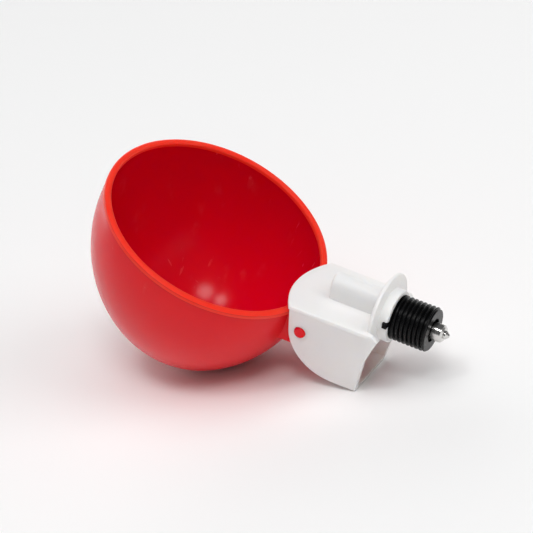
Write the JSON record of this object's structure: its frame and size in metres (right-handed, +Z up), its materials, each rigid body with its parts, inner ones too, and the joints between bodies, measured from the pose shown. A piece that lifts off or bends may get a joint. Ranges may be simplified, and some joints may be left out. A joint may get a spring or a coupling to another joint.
{
  "type": "poultry_drinking_cup",
  "caption": "Poultry drinking cup: a deep red bowl that tilts in a white threaded bracket and opens a stem valve when it is empty.",
  "frame": {"origin": "Where the thread's axis meets the rear face of the bracket's collar", "axes": "+X runs along the thread's axis, out of the part into the pipe; +Z is up, square to the bracket's flat top; the bowl is at -X"},
  "size_m": [0.1111, 0.0688, 0.0579],
  "materials": {
    "bracket_plastic": "satin",
    "cup_plastic": "gloss",
    "sleeve_plastic": "satin",
    "seal_rubber": "matte",
    "stem_steel": "satin",
    "spring_steel": "satin"
  },
  "bodies": {
    "bracket_body": {"bracket": "bracket_plastic", "threaded_sleeve": "sleeve_plastic", "sleeve_ring": "seal_rubber", "lift_spring": "spring_steel"},
    "cup_body": {"cup": "cup_plastic"},
    "stem_body": {"valve_stem": "stem_steel", "valve_seal": "seal_rubber"}
  },
  "joints": [
    {"name": "cup_tilt", "type": "hinge", "parent": "bracket_body", "child": "cup_body", "pos_m": [-0.0239, 0, -0.00855], "axis": [0, 1, 0], "range_deg": [-19.4, 0], "stiffness_Nm_per_rad": 0.04, "springref_deg": 28.65, "deforming": ["lift_spring"]},
    {"name": "stem_slide", "type": "slide", "parent": "bracket_body", "child": "stem_body", "axis": [1, 0, 0], "range_m": [-0.00233, 0]}
  ],
  "couplings": [
    {"joint": "stem_slide", "follows": "cup_tilt", "m_per_rad": 0.00683}
  ]
}
